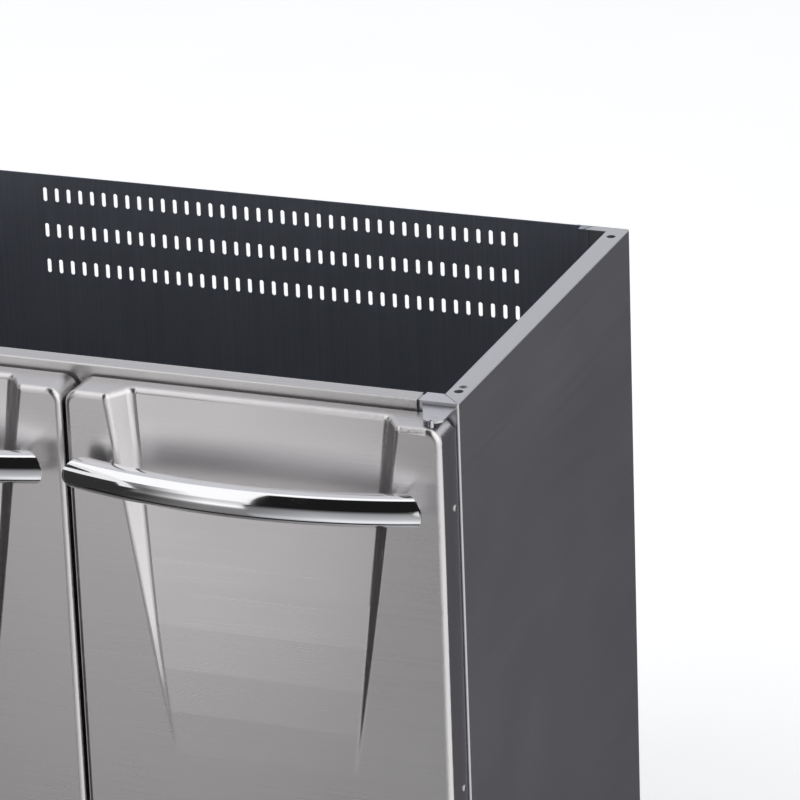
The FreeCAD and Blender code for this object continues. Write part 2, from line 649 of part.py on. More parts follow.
def side_rivet_places():
    step = (DOOR_TOP - DOOR_BOTTOM - 2 * SIDE_RIVET_END) / (SIDE_RIVETS - 1)
    return [DOOR_TOP - SIDE_RIVET_END - i * step for i in range(SIDE_RIVETS)]


def door_skin():
    """Drawn front pan of the right door, with the field scooped in behind the handle."""
    pan = door_form(0).cut(door_form(DOOR_SHEET))
    cut_x = DOOR_HINGE - DOOR_CORNER_R
    relief = Part.Face(Part.makePolygon([
        V(cut_x, DOOR_BACK - CORNER_CUT_Y, DOOR_TOP + PAST),
        V(cut_x, DOOR_BACK + PAST, DOOR_TOP + PAST),
        V(cut_x, DOOR_BACK + PAST, DOOR_TOP - CORNER_CUT_Z),
        V(cut_x, DOOR_BACK, DOOR_TOP - CORNER_CUT_Z),
        V(cut_x, DOOR_BACK - CORNER_CUT_Y, DOOR_TOP),
        V(cut_x, DOOR_BACK - CORNER_CUT_Y, DOOR_TOP + PAST),
    ])).extrude(SIDEWAYS * (DOOR_CORNER_R + PAST))
    pivot = V(PIVOT_X, PIVOT_Y, DOOR_TOP)
    bore = rod(BUSH_R + BUSH_FIT, pivot + UP * PAST, pivot - UP * DOOR_CORNER_R)
    cuts = door_ends(relief) + door_ends(bore)
    for x in post_places():
        cuts.append(rod(HANDLE_SCREW_R + HANDLE_SCREW_FIT, V(x, DOOR_FACE - PAST, HANDLE_Z),
                        V(x, DOOR_FACE + DOOR_SHEET + PAST, HANDLE_Z)))
    y = DOOR_BACK - SIDE_RIVET_BACK
    for z in side_rivet_places():
        cuts.append(rod(RIVET_R + RIVET_FIT, V(DOOR_FREE - PAST, y, z), V(DOOR_HINGE + PAST, y, z)))
    return pan.cut(cuts)


def liner_form(inset):
    """Liner outline with its pressed panel, moved in by the sheet for the inner side."""
    gap = DOOR_SHEET + LINER_FIT + inset
    left = DOOR_FREE + gap
    right = DOOR_HINGE - gap
    low = DOOR_BOTTOM + gap
    high = DOOR_TOP - gap
    rear = DOOR_BACK - inset
    front = DOOR_BACK - LINER_FLANGE - (PAST if inset else 0)
    body = box(left, right, front, rear, low, high)
    body = body.makeFillet(DOOR_CORNER_R - inset, edges_along(body, BACKWARD, lambda c: True))
    folds = [e for e in body.Edges if near(e.CenterOfMass.y, rear)]
    body = body.makeFillet(LINER_BEND_R - inset, folds)

    def outline(y, margin):
        return Part.makePolygon([V(left + margin, y, low + margin), V(right - margin, y, low + margin),
                                 V(right - margin, y, high - margin), V(left + margin, y, high - margin),
                                 V(left + margin, y, low + margin)])

    rim = LINER_PANEL_INSET - 2 * inset
    press = Part.makeLoft([outline(rear + PAST, rim - PAST),
                           outline(rear - LINER_PANEL_DEPTH, rim + LINER_PANEL_DEPTH)], True, True)
    return body.cut(press)


def door_liner():
    pan = liner_form(0).cut(liner_form(DOOR_SHEET))
    flange_top = DOOR_TOP - DOOR_SHEET - LINER_FIT
    flange_front = DOOR_BACK - (DOOR_DEPTH - SCOOP_DEPTH - DOOR_EDGE_R - LINER_AIR)
    cuts = [box(DOOR_FREE, DOOR_HINGE, DOOR_BACK - LINER_FLANGE - PAST, flange_front,
                flange_top - DOOR_SHEET - PAST, flange_top + PAST)]
    y = DOOR_BACK - SIDE_RIVET_BACK
    for z in side_rivet_places():
        cuts.append(rod(RIVET_R + RIVET_FIT, V(DOOR_FREE - PAST, y, z), V(DOOR_HINGE + PAST, y, z)))
    x, z = bumper_place()
    cuts.append(rod(BUMPER_STEM_R, V(x, DOOR_BACK + PAST, z), V(x, DOOR_BACK - DOOR_SHEET - PAST, z)))
    return pan.cut(cuts)


def side_rivets():
    """Rivets through the skin's sides into the liner's flanges, flush on the free side."""
    grip = DOOR_SHEET + LINER_FIT + DOOR_SHEET
    y = DOOR_BACK - SIDE_RIVET_BACK
    rivets = []
    for z in side_rivet_places():
        seat = V(DOOR_HINGE, y, z)
        head = pan_head(RIVET_HEAD_R, RIVET_HEAD, seat, SIDEWAYS)
        rivets.append(rod(RIVET_R, seat, seat - SIDEWAYS * grip).fuse(head))
        free = V(DOOR_FREE, y, z)
        rivets.append(rod(RIVET_R, free, free + SIDEWAYS * grip))
    return group(rivets)


def pivot_blocks():
    """Blocks behind the door's top and bottom walls that hold the bushes."""
    low = DOOR_TOP - DOOR_SHEET - BLOCK_FIT - BLOCK_HEIGHT
    block = box(PIVOT_X - BLOCK_HALF_X, PIVOT_X + BLOCK_HALF_X, PIVOT_Y - BLOCK_FRONT, PIVOT_Y + BLOCK_BACK,
                low, DOOR_TOP)
    block = block.common(door_form(DOOR_SHEET + BLOCK_FIT))
    bore = rod(BUSH_R + BUSH_FIT, V(PIVOT_X, PIVOT_Y, low - PAST), V(PIVOT_X, PIVOT_Y, DOOR_TOP))
    return group(door_ends(block.cut(bore)))


def pivot_bushes():
    """Flanged bushes on the pivot axis, top and bottom."""
    top = V(PIVOT_X, PIVOT_Y, DOOR_TOP)
    flange = rod(BUSH_FLANGE_R, top, top + UP * BUSH_FLANGE)
    sleeve = rod(BUSH_R, top, top - UP * BUSH_LENGTH)
    bore = rod(PIN_R + RUN_FIT, top + UP * (BUSH_FLANGE + PAST), top - UP * (BUSH_LENGTH + PAST))
    return group(door_ends(flange.fuse(sleeve).cut(bore)))


def bar_centre():
    """Centre of the bar's bow, in plan."""
    return V(DOOR_MIDDLE, DOOR_FACE - BAR_CLEAR - BAR_R + BAR_ARC_R, HANDLE_Z)


def bar_solid(radius, sweep):
    """Stretch of the bowed bar, symmetric about mid span."""
    centre = bar_centre()
    start = -math.pi / 2 - sweep
    middle = centre + V(math.cos(start), math.sin(start), 0) * BAR_ARC_R
    circle = Part.Circle(middle, V(-math.sin(start), math.cos(start), 0), radius)
    face = Part.Face(Part.Wire(circle.toShape()))
    return face.revolve(centre, UP, math.degrees(2 * sweep))


def bar_end():
    """Hinge-side end of the bar's axis: its point, its direction and its turn from the door's line."""
    turn = math.asin(BAR_HALF / BAR_ARC_R)
    point = bar_centre() + V(math.sin(turn), -math.cos(turn), 0) * BAR_ARC_R
    return point, V(math.cos(turn), math.sin(turn), 0), turn


def bar_trim(back_off):
    """Everything past the mitred end cut of the bar's hinge-side end."""
    point, along, turn = bar_end()
    tilt = turn + BAR_MITRE
    normal = V(math.cos(tilt), math.sin(tilt), 0)
    size = 6 * BAR_R
    cutter = Part.makeBox(size, 2 * size, 2 * size, V(0, -size, -size))
    cutter.rotate(V(0, 0, 0), UP, math.degrees(tilt))
    cutter.translate(point - normal * back_off)
    return cutter


def bar_cap():
    """Bevelled plate that closes the bar's mitred end."""
    point, along, turn = bar_end()
    stub = rod(BAR_R, point - along * 2 * BAR_R, point + along * 2 * BAR_R)
    cap = stub.common(bar_trim(BAR_CAP)).cut(bar_trim(0))
    rims = [e for e in cap.Edges if e.Curve.TypeId == "Part::GeomEllipse"]
    return cap.makeChamfer(BAR_CAP_EDGE, [max(rims, key=lambda e: e.CenterOfMass.x)])


def bar_parts():
    """Hollow bar and its two end caps."""
    sweep = math.asin((BAR_HALF + 2 * BAR_R) / BAR_ARC_R)
    outside = bar_solid(BAR_R, sweep)
    hollow = bar_solid(BAR_R - BAR_WALL, sweep)
    across = V(DOOR_MIDDLE, 0, 0)
    inner_trim = bar_trim(BAR_CAP)
    inner_trims = [inner_trim, inner_trim.mirror(across, SIDEWAYS)]
    holes = []
    for x in post_places():
        holes.append(rod(HANDLE_SCREW_R + HANDLE_SCREW_FIT, V(x, DOOR_FACE, HANDLE_Z),
                         V(x, bar_axis_y(x), HANDLE_Z)))
    bar = outside.cut([hollow] + inner_trims + holes)
    cap = bar_cap()
    return bar, group([cap, cap.mirror(across, SIDEWAYS)])


def bar_axis_y(x):
    """Plan position of the bar's axis at a place along the door."""
    offset = x - DOOR_MIDDLE
    return bar_centre().y - math.sqrt(BAR_ARC_R ** 2 - offset ** 2)


def handle_posts():
    """Spacers between the columns and the bar, hollowed to the bar's round back."""
    sweep = math.asin((BAR_HALF + 2 * BAR_R) / BAR_ARC_R)
    bar = bar_solid(BAR_R + POST_FIT, sweep)
    posts = []
    for x in post_places():
        seat = V(x, DOOR_FACE, HANDLE_Z)
        end = V(x, bar_axis_y(x), HANDLE_Z)
        post = rod(POST_R, seat, end)
        bore = rod(HANDLE_SCREW_R + HANDLE_SCREW_FIT, seat + BACKWARD * PAST, end - BACKWARD * PAST)
        pieces = post.cut([bar, bore]).Solids
        posts.append(max(pieces, key=lambda s: s.CenterOfMass.y))
    return group(posts)


def handle_screws():
    """Screws from inside the door, through column and post, into the bar."""
    screws = []
    for x in post_places():
        seat = V(x, DOOR_FACE + DOOR_SHEET, HANDLE_Z)
        end = V(x, bar_axis_y(x) + BAR_R - HANDLE_SCREW_GRIP, HANDLE_Z)
        head = pan_head(HANDLE_SCREW_HEAD_R, HANDLE_SCREW_HEAD, seat, BACKWARD)
        screws.append(rod(HANDLE_SCREW_R, seat, end).fuse(head))
    return group(screws)


def catch_box(y0, y1, margin):
    x0 = MEETING_GAP / 2 + CATCH_IN
    top = HEIGHT - CATCH_DROP
    block = box(x0 - margin, x0 + CATCH_LENGTH + margin, y0, y1, top - CATCH_HEIGHT - margin, top + margin)
    return block.makeFillet(CATCH_EDGE_R, edges_along(block, BACKWARD, lambda c: True))


def magnet_catches():
    """Flat magnets in their housings on the top rail's face, one per door."""
    air = STRIKE_THICKNESS + CATCH_AIR
    catch = catch_box(DOOR_BACK + air, FRONT_Y, 0)
    return group([catch, mirror_x(catch)])


def strike_plate():
    return catch_box(DOOR_BACK, DOOR_BACK + STRIKE_THICKNESS, STRIKE_MARGIN)


def bumper_place():
    return DOOR_FREE + BUMPER_IN, DOOR_BOTTOM + BUMPER_RISE


def door_bumper():
    """Soft bumper that meets the bottom rail, on a stem through the liner."""
    x, z = bumper_place()
    seat = V(x, DOOR_BACK, z)
    pad = rod(BUMPER_R, seat, seat + BACKWARD * (DOOR_GAP - BUMPER_AIR))
    pad = pad.makeFillet(BUMPER_R / 4, [max(pad.Edges, key=lambda e: e.CenterOfMass.y)])
    return pad.fuse(rod(BUMPER_STEM_R, seat, seat - BACKWARD * BUMPER_STEM))


def foot_sockets():
    """Threaded sockets standing on the bottom flanges."""
    sockets = []
    for x, y in foot_places():
        seat = V(x, y, BASE_Z + SHEET)
        flange = rod(SOCKET_FLANGE_R, seat, seat + UP * SOCKET_FLANGE)
        barrel = rod(SOCKET_R, seat, seat + UP * SOCKET_HEIGHT)
        bore = rod(STUD_R + RUN_FIT, seat - UP * PAST, seat + UP * (SOCKET_HEIGHT + PAST))
        sockets.append(flange.fuse(barrel).cut(bore))
    return group(sockets)


def foot_pad(x, y):
    """Turned pad: straight rim, coned shoulder."""
    outline = [(0, 0), (PAD_R, 0), (PAD_R, PAD_RIM), (PAD_TOP_R, PAD_HEIGHT), (0, PAD_HEIGHT), (0, 0)]
    profile = Part.makePolygon([V(r, 0, z) for r, z in outline])
    pad = Part.Face(profile).revolve(V(0, 0, 0), UP, 360)
    pad = pad.makeFillet(PAD_EDGE_R, [e for e in pad.Edges if e.Curve.TypeId == "Part::GeomCircle"])
    pad.translate(V(x, y, 0))
    return pad


def foot_stud(x, y):
    """Stud with a hexagon for the spanner, standing on the pad."""
    corner = HEX_ACROSS / math.sqrt(3)
    turns = [i * math.pi / 3 for i in range(6)]
    plan = [(x + corner * math.cos(a), y + corner * math.sin(a)) for a in turns]
    hexagon = prism(plan, PAD_HEIGHT, PAD_HEIGHT + HEX_HEIGHT)
    return hexagon.fuse(rod(STUD_R, V(x, y, PAD_HEIGHT), V(x, y, STUD_TOP)))


def all_parts():
    parts = {}
    side = side_panel()
    parts["side_panel_right"] = side
    parts["side_panel_left"] = mirror_x(side)
    parts["back_panel"] = back_panel()
    parts["back_rivets"] = back_rivets()
    rail = top_rail()
    parts["top_rail"] = rail
    parts["bottom_rail"] = mirror_ends(rail)
    parts["floor_panel"] = floor_panel()
    names = ["top_right", "bottom_right", "top_left", "bottom_left"]
    for name, bracket in zip(names, four_corners(hinge_bracket())):
        parts["hinge_bracket_" + name] = bracket
    parts["hinge_pins"] = group(four_corners(hinge_pin()))
    parts["bracket_screws"] = group(four_corners(bracket_screw()))
    parts["rail_screws"] = group(four_corners(rail_screw()))
    parts["magnet_catches"] = magnet_catches()
    parts["foot_sockets"] = foot_sockets()
    bar, caps = bar_parts()
    door = {
        "door_skin": door_skin(),
        "door_liner": door_liner(),
        "side_rivets": side_rivets(),
        "pivot_blocks": pivot_blocks(),
        "pivot_bushes": pivot_bushes(),
        "handle_bar": bar,
        "handle_caps": caps,
        "handle_posts": handle_posts(),
        "handle_screws": handle_screws(),
        "strike_plate": strike_plate(),
        "door_bumper": door_bumper(),
    }
    for name, shape in door.items():
        parts[name + "_right"] = shape
        parts[name + "_left"] = mirror_x(shape)
    for name, place in zip(["front_right", "rear_right", "front_left", "rear_left"], foot_places()):
        parts["foot_pad_" + name] = foot_pad(*place)
        parts["foot_stud_" + name] = foot_stud(*place)
    return parts


os.makedirs("parts", exist_ok=True)
for node, shape in all_parts().items():
    shape.exportStep("parts/" + node + ".step")
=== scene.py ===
import json
import math

import bpy
from mathutils import Matrix, Vector


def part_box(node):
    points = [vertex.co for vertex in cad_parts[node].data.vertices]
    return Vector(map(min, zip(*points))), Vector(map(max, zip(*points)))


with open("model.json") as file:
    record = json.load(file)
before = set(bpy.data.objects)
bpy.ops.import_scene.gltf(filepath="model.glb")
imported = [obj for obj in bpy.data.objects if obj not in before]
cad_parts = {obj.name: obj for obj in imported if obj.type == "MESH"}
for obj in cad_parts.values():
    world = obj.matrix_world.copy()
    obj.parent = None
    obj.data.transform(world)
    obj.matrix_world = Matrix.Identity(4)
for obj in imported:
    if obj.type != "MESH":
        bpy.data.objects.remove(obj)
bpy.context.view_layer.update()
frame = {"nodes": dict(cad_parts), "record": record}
nodes = frame["nodes"]
scene = bpy.context.scene
scene.view_settings.view_transform = "Standard"

# Shader helpers

NOISE_LOW, NOISE_HIGH = 0.3, 0.7         # most of a noise lies between these


def new_material(name, color, metallic, roughness):
    """Principled material with its constants on the shader's own sockets."""
    mat = bpy.data.materials.new(name)
    mat.use_nodes = True
    tree = mat.node_tree
    shader = tree.nodes["Principled BSDF"]
    shader.inputs["Base Color"].default_value = (*color, 1)
    shader.inputs["Metallic"].default_value = metallic
    shader.inputs["Roughness"].default_value = roughness
    return mat, tree, shader


def noise(tree, scale, detail, stretch=(1, 1, 1)):
    """Noise over the part's own metres, stretched along a grain."""
    coords = tree.nodes.new("ShaderNodeTexCoord")
    mapping = tree.nodes.new("ShaderNodeMapping")
    mapping.inputs["Scale"].default_value = stretch
    tree.links.new(coords.outputs["Object"], mapping.inputs["Vector"])
    tex = tree.nodes.new("ShaderNodeTexNoise")
    tex.inputs["Scale"].default_value = scale
    tex.inputs["Detail"].default_value = detail
    tree.links.new(mapping.outputs["Vector"], tex.inputs["Vector"])
    return tex.outputs["Fac"]


def spread(tree, value, low, high, from_low=NOISE_LOW, from_high=NOISE_HIGH):
    """Value taken from one range to another and held at its ends."""
    node = tree.nodes.new("ShaderNodeMapRange")
    node.inputs["From Min"].default_value = from_low
    node.inputs["From Max"].default_value = from_high
    node.inputs["To Min"].default_value = low
    node.inputs["To Max"].default_value = high
    tree.links.new(value, node.inputs["Value"])
    return node.outputs["Result"]


def combine(tree, operation, a, b):
    """Sum, product and the like of two sockets or numbers."""
    node = tree.nodes.new("ShaderNodeMath")
    node.operation = operation
    for socket, value in zip(node.inputs, (a, b)):
        if isinstance(value, (int, float)):
            socket.default_value = value
        else:
            tree.links.new(value, socket)
    return node.outputs["Value"]


def blend(tree, factor, a, b):
    """From one value to another by a factor."""
    node = tree.nodes.new("ShaderNodeMix")
    tree.links.new(factor, node.inputs["Factor"])
    tree.links.new(a, node.inputs["A"])
    tree.links.new(b, node.inputs["B"])
    return node.outputs["Result"]


def tint(tree, shader, color, factor):
    """Base colour times a varying factor."""
    mix = tree.nodes.new("ShaderNodeMix")
    mix.data_type = "RGBA"
    mix.blend_type = "MULTIPLY"
    mix.inputs["Factor"].default_value = 1
    mix.inputs["A"].default_value = (*color, 1)
    grey = tree.nodes.new("ShaderNodeCombineColor")
    for i in range(3):
        tree.links.new(factor, grey.inputs[i])
    tree.links.new(grey.outputs["Color"], mix.inputs["B"])
    tree.links.new(mix.outputs["Result"], shader.inputs["Base Color"])


def bump(tree, shader, height, strength, distance):
    """Fine relief, its full height given in metres."""
    node = tree.nodes.new("ShaderNodeBump")
    node.inputs["Strength"].default_value = strength
    node.inputs["Distance"].default_value = distance
    tree.links.new(height, node.inputs["Height"])
    tree.links.new(node.outputs["Normal"], shader.inputs["Normal"])


def facing(tree, axis):
    """1 on faces whose normal lies along an axis of the part, 0 elsewhere."""
    coords = tree.nodes.new("ShaderNodeTexCoord")
    split = tree.nodes.new("ShaderNodeSeparateXYZ")
    tree.links.new(coords.outputs["Normal"], split.inputs[0])
    along = combine(tree, "ABSOLUTE", split.outputs[axis], 0)
    return spread(tree, along, 0, 1, from_low=0.6, from_high=0.8)


# Finishes

X_AXIS, Y_AXIS, Z_AXIS = 0, 1, 2
ACROSS_GRAIN = ((0, 0.3, 1), (0.3, 0, 1), (1, 0.3, 0))   # for a grain along X, Y and Z
FINE_ALONG, FINE_ACROSS = 6, 1600        # noise cells per metre, along the grain and across it
COARSE_ALONG, COARSE_ACROSS = 2, 320
FINE_SHARE = 0.65
GRAIN_HEIGHT = 0.0002
LINE_ROUGHNESS = 0.025                   # how far the grain takes the roughness up and down


def grain_lines(tree, axis):
    """Fine and coarse lines along one axis."""
    fine_cells = tuple(FINE_ALONG if i == axis else FINE_ACROSS for i in range(3))
    coarse_cells = tuple(COARSE_ALONG if i == axis else COARSE_ACROSS for i in range(3))
    fine = noise(tree, scale=1, detail=3, stretch=fine_cells)
    coarse = noise(tree, scale=1, detail=2, stretch=coarse_cells)
    fine_part = combine(tree, "MULTIPLY", fine, FINE_SHARE)
    coarse_part = combine(tree, "MULTIPLY", coarse, 1 - FINE_SHARE)
    return combine(tree, "ADD", fine_part, coarse_part)


def smear_across(tree, shader, grain, amount):
    """Longer highlights across the grain than along it."""
    shader.inputs["Anisotropic"].default_value = amount
    turn = tree.nodes.new("ShaderNodeVectorTransform")
    turn.vector_type = "VECTOR"
    turn.convert_from = "OBJECT"
    turn.convert_to = "WORLD"
    turn.inputs["Vector"].default_value = ACROSS_GRAIN[grain]
    tree.links.new(turn.outputs["Vector"], shader.inputs["Tangent"])


def brushed(name, color, roughness, grain, fold, contrast=0.06, depth=0.12, smear=0.05, across=0):
    """Brushed sheet: grain along one axis, turning to the fold axis on returns across it, faint smears."""
    mat, tree, shader = new_material(name, color, 1, roughness)
    if across:
        smear_across(tree, shader, grain, across)
    lines = blend(tree, facing(tree, grain), grain_lines(tree, grain), grain_lines(tree, fold))
    smears = noise(tree, scale=7, detail=4)
    line_shade = spread(tree, lines, 1 - contrast, 1 + contrast)
    smear_shade = spread(tree, smears, 1 - smear, 1)
    tint(tree, shader, color, combine(tree, "MULTIPLY", line_shade, smear_shade))
    line_rough = spread(tree, lines, roughness - LINE_ROUGHNESS, roughness + LINE_ROUGHNESS)
    smear_rough = spread(tree, smears, -0.6 * smear, smear)
    tree.links.new(combine(tree, "ADD", line_rough, smear_rough), shader.inputs["Roughness"])
    bump(tree, shader, lines, strength=depth, distance=GRAIN_HEIGHT)
    return mat


def blasted(name, color, roughness):
    """Fine-grained casting or turned metal."""
    mat, tree, shader = new_material(name, color, 1, roughness)
    grain = noise(tree, scale=1500, detail=3)
    patches = noise(tree, scale=60, detail=3)
    grain_shade = spread(tree, grain, 0.94, 1.04)
    patch_shade = spread(tree, patches, 0.93, 1)
    tint(tree, shader, color, combine(tree, "MULTIPLY", grain_shade, patch_shade))
    rough = spread(tree, patches, roughness - 0.05, roughness + 0.07)
    tree.links.new(rough, shader.inputs["Roughness"])
    bump(tree, shader, grain, strength=0.2, distance=GRAIN_HEIGHT)
    return mat


def polished(name, color):
    """Polished tube: mirror-like with faint polishing lines along X and finger smears."""
    mat, tree, shader = new_material(name, color, 1, 0.06)
    lines = noise(tree, scale=1, detail=2, stretch=(5, 900, 900))
    smears = noise(tree, scale=24, detail=4)
    line_rough = spread(tree, lines, 0.03, 0.06)
    smear_rough = spread(tree, smears, 0, 0.05, from_low=0.45, from_high=0.75)
    tree.links.new(combine(tree, "ADD", line_rough, smear_rough), shader.inputs["Roughness"])
    tint(tree, shader, color, spread(tree, smears, 0.97, 1))
    bump(tree, shader, lines, strength=0.03, distance=0.0001)
    return mat


def moulded(name, color, roughness, grain_scale=900, depth=0.25):
    """Moulded plastic or rubber with a fine texture."""
    mat, tree, shader = new_material(name, color, 0, roughness)
    grain = noise(tree, scale=grain_scale, detail=2)
    patches = noise(tree, scale=45, detail=3)
    tint(tree, shader, color, spread(tree, patches, 0.85, 1.1))
    rough = spread(tree, patches, roughness - 0.08, roughness + 0.08)
    tree.links.new(rough, shader.inputs["Roughness"])
    bump(tree, shader, grain, strength=depth, distance=0.0003)
    return mat


FINISHES = {
    "side_steel": (brushed, dict(
        color=(0.6, 0.6, 0.62), roughness=0.34, grain=Y_AXIS, fold=X_AXIS, contrast=0.045, smear=0.02)),
    "rail_steel": (brushed, dict(
        color=(0.64, 0.63, 0.63), roughness=0.28, grain=X_AXIS, fold=Z_AXIS, across=0.7)),
    "floor_steel": (brushed, dict(
        color=(0.6, 0.6, 0.605), roughness=0.38, grain=X_AXIS, fold=Z_AXIS)),
    "back_steel": (brushed, dict(
        color=(0.395, 0.425, 0.495), roughness=0.4, grain=Z_AXIS, fold=Y_AXIS, contrast=0.14, smear=0.02)),
    "door_steel": (brushed, dict(
        color=(0.715, 0.699, 0.704), roughness=0.29, grain=X_AXIS, fold=Z_AXIS, contrast=0.03, depth=0.03,
        smear=0.02, across=0.7)),
    "liner_steel": (brushed, dict(
        color=(0.56, 0.56, 0.565), roughness=0.4, grain=Z_AXIS, fold=Y_AXIS)),
    "bracket_steel": (blasted, dict(color=(0.66, 0.66, 0.695), roughness=0.34)),
    "fastener_steel": (blasted, dict(color=(0.6, 0.6, 0.6), roughness=0.25)),
    # Bracket screws: the fastener steel made near black, a painted shade for the dark around their heads
    "screw_painted_shade": (blasted, dict(color=(0.2, 0.2, 0.21), roughness=0.3)),
    "handle_chrome": (polished, dict(color=(0.82, 0.82, 0.84))),
    "bush_plastic": (moulded, dict(color=(0.02, 0.02, 0.021), roughness=0.45)),
    "catch_plastic": (moulded, dict(color=(0.03, 0.03, 0.032), roughness=0.5)),
    "bumper_rubber": (moulded, dict(color=(0.02, 0.02, 0.02), roughness=0.7)),
    "pad_plastic": (moulded, dict(color=(0.025, 0.025, 0.026), roughness=0.55, grain_scale=700, depth=0.4)),
}
MATERIALS = {name: finish(name, **look) for name, (finish, look) in FINISHES.items()}
SLOT_OF = {p["node"]: p["material_slot"] for p in frame["record"]["subparts"]}
# Nodes with a grain or tone other than their slot's
BY_NODE = {
    "side_panel_right": "side_steel",
    "side_panel_left": "side_steel",
    "top_rail": "rail_steel",
    "bottom_rail": "rail_steel",
    "floor_panel": "floor_steel",
    # near-black screws: painted shade for the dark around their heads
    "bracket_screws": "screw_painted_shade",
}
for name, obj in nodes.items():
    obj.data.materials.clear()
    obj.data.materials.append(MATERIALS[BY_NODE.get(name, SLOT_OF[name])])

# Stage: white floor, a tent of reflection cards around the cabinet, soft light

WHITE = (1, 1, 1)
FLOOR_COLOR = (0.8, 0.8, 0.8)
FLOOR_GLOW = 0.4
FLOOR_HALF = 15
TENT_CENTRE = Vector((0.2, -0.25, 0.7))
TENT_RADIUS = 5
CARD_STEPS = 24                          # facets along each side of a card


def stage_mesh(name, verts, faces, mat):
    """Mesh of the studio, not of the part."""
    mesh = bpy.data.meshes.new(name)
    mesh.from_pydata(verts, [], faces)
    mesh.materials.append(mat)
    obj = bpy.data.objects.new(name, mesh)
    scene.collection.objects.link(obj)
    return obj


def seen(tree):
    """1 for rays that show the background: straight, in a reflection or through something."""
    path = tree.nodes.new("ShaderNodeLightPath")
    direct = combine(tree, "MAXIMUM", path.outputs["Is Camera Ray"], path.outputs["Is Glossy Ray"])
    return combine(tree, "MAXIMUM", direct, path.outputs["Is Transmission Ray"])


floor_mat, floor_tree, floor_shader = new_material("floor_paper", FLOOR_COLOR, 0, 0.9)
floor_patches = noise(floor_tree, scale=3, detail=2)
tint(floor_tree, floor_shader, FLOOR_COLOR, spread(floor_tree, floor_patches, 0.99, 1.01))
floor_shader.inputs["Emission Color"].default_value = (*WHITE, 1)
floor_glow = combine(floor_tree, "MULTIPLY", seen(floor_tree), FLOOR_GLOW)
floor_tree.links.new(floor_glow, floor_shader.inputs["Emission Strength"])
floor_corners = [(x * FLOOR_HALF, y * FLOOR_HALF, 0) for x, y in ((-1, -1), (1, -1), (1, 1), (-1, 1))]
floor = stage_mesh("floor", floor_corners, [(0, 1, 2, 3)], floor_mat)
floor.visible_glossy = False


def card_material(name, color, glow, fade=None):
    """Card that glows with one strength, or by (angle, strength) steps over its angle from the front.

    A fade gives (side, share) at its left and its right end: the strength is multiplied by a share that
    goes from the one to the other."""
    mat = bpy.data.materials.new(name)
    mat.use_nodes = True
    tree = mat.node_tree
    tree.nodes.clear()
    emission = tree.nodes.new("ShaderNodeEmission")
    emission.inputs["Color"].default_value = (*color, 1)
    if isinstance(glow, (int, float)):
        emission.inputs["Strength"].default_value = glow
    else:
        coords = tree.nodes.new("ShaderNodeTexCoord")
        split = tree.nodes.new("ShaderNodeSeparateXYZ")
        tree.links.new(coords.outputs["Object"], split.inputs[0])
        ahead = combine(tree, "MULTIPLY", split.outputs["Y"], -1)
        angle = combine(tree, "ARCTAN2", split.outputs["Z"], ahead)
        strength = glow[0][1]
        for (start, low), (stop, high) in zip(glow, glow[1:]):
            more = spread(tree, angle, 0, high - low, math.radians(start), math.radians(stop))
            strength = combine(tree, "ADD", strength, more)
        if fade:
            (left, left_share), (right, right_share) = fade
            ends = left * TENT_RADIUS, right * TENT_RADIUS
            share = spread(tree, split.outputs["X"], left_share, right_share, *ends)
            strength = combine(tree, "MULTIPLY", strength, share)
        tree.links.new(strength, emission.inputs["Strength"])
    out = tree.nodes.new("ShaderNodeOutputMaterial")
    tree.links.new(emission.outputs[0], out.inputs["Surface"])
    return mat


def tent_card(name, point, mat):
    """Patch of the tent that shows only in reflections, from a function of two shares."""
    row = CARD_STEPS + 1
    shares = [i / CARD_STEPS for i in range(row)]
    verts = [point(i, j) for i in shares for j in shares]
    starts = [i * row + j for i in range(CARD_STEPS) for j in range(CARD_STEPS)]
    faces = [(a, a + 1, a + row + 1, a + row) for a in starts]
    obj = stage_mesh(name, verts, faces, mat)
    obj.location = TENT_CENTRE
    obj.visible_camera = False
    obj.visible_diffuse = False
    obj.visible_shadow = False
    obj.visible_transmission = False


def between(limits, share):
    """Value at a share of the way from the first limit to the second."""
    return limits[0] + (limits[1] - limits[0]) * share


def arch(name, sides, angles, color, glow, fade=None):
    """Card between two sideways shares of the tent and two angles from the front, bent over the cabinet."""
    def point(i, j):
        x = between(sides, i)
        angle = math.radians(between(angles, j))
        flat = TENT_RADIUS * math.sqrt(1 - x * x)
        return TENT_RADIUS * x, -flat * math.cos(angle), flat * math.sin(angle)
    tent_card(name, point, card_material(name, color, glow, fade))


def wedge(name, azimuths, elevations, color, glow):
    """Card between two azimuths (0 straight in front, positive to the right) and two elevations."""
    def point(i, j):
        az = math.radians(between(azimuths, i))
        el = math.radians(between(elevations, j))
        flat = TENT_RADIUS * math.cos(el)
        return flat * math.sin(az), -flat * math.cos(az), TENT_RADIUS * math.sin(el)
    tent_card(name, point, card_material(name, color, glow))


# High in front, overhead and behind: the handle's dark band, the light beside it, flanges and rail
arch("front_flag", (-0.3, 0.28), (9, 87), WHITE, 0.012)
arch("front_box", (-0.66, -0.3), (45, 104), WHITE, 1.2)
arch("front_box_low", (-0.66, -0.3), (24, 45), WHITE, [(24, 1.2), (45, 1.2)],
     fade=((-0.62, 0.17), (-0.48, 1)))
arch("overhead", (-0.3, 0.6), (87, 104), WHITE, 1.25)
arch("rear_top", (-0.97, 0.97), (104, 170), (0.96, 0.97, 1.02), 0.72)

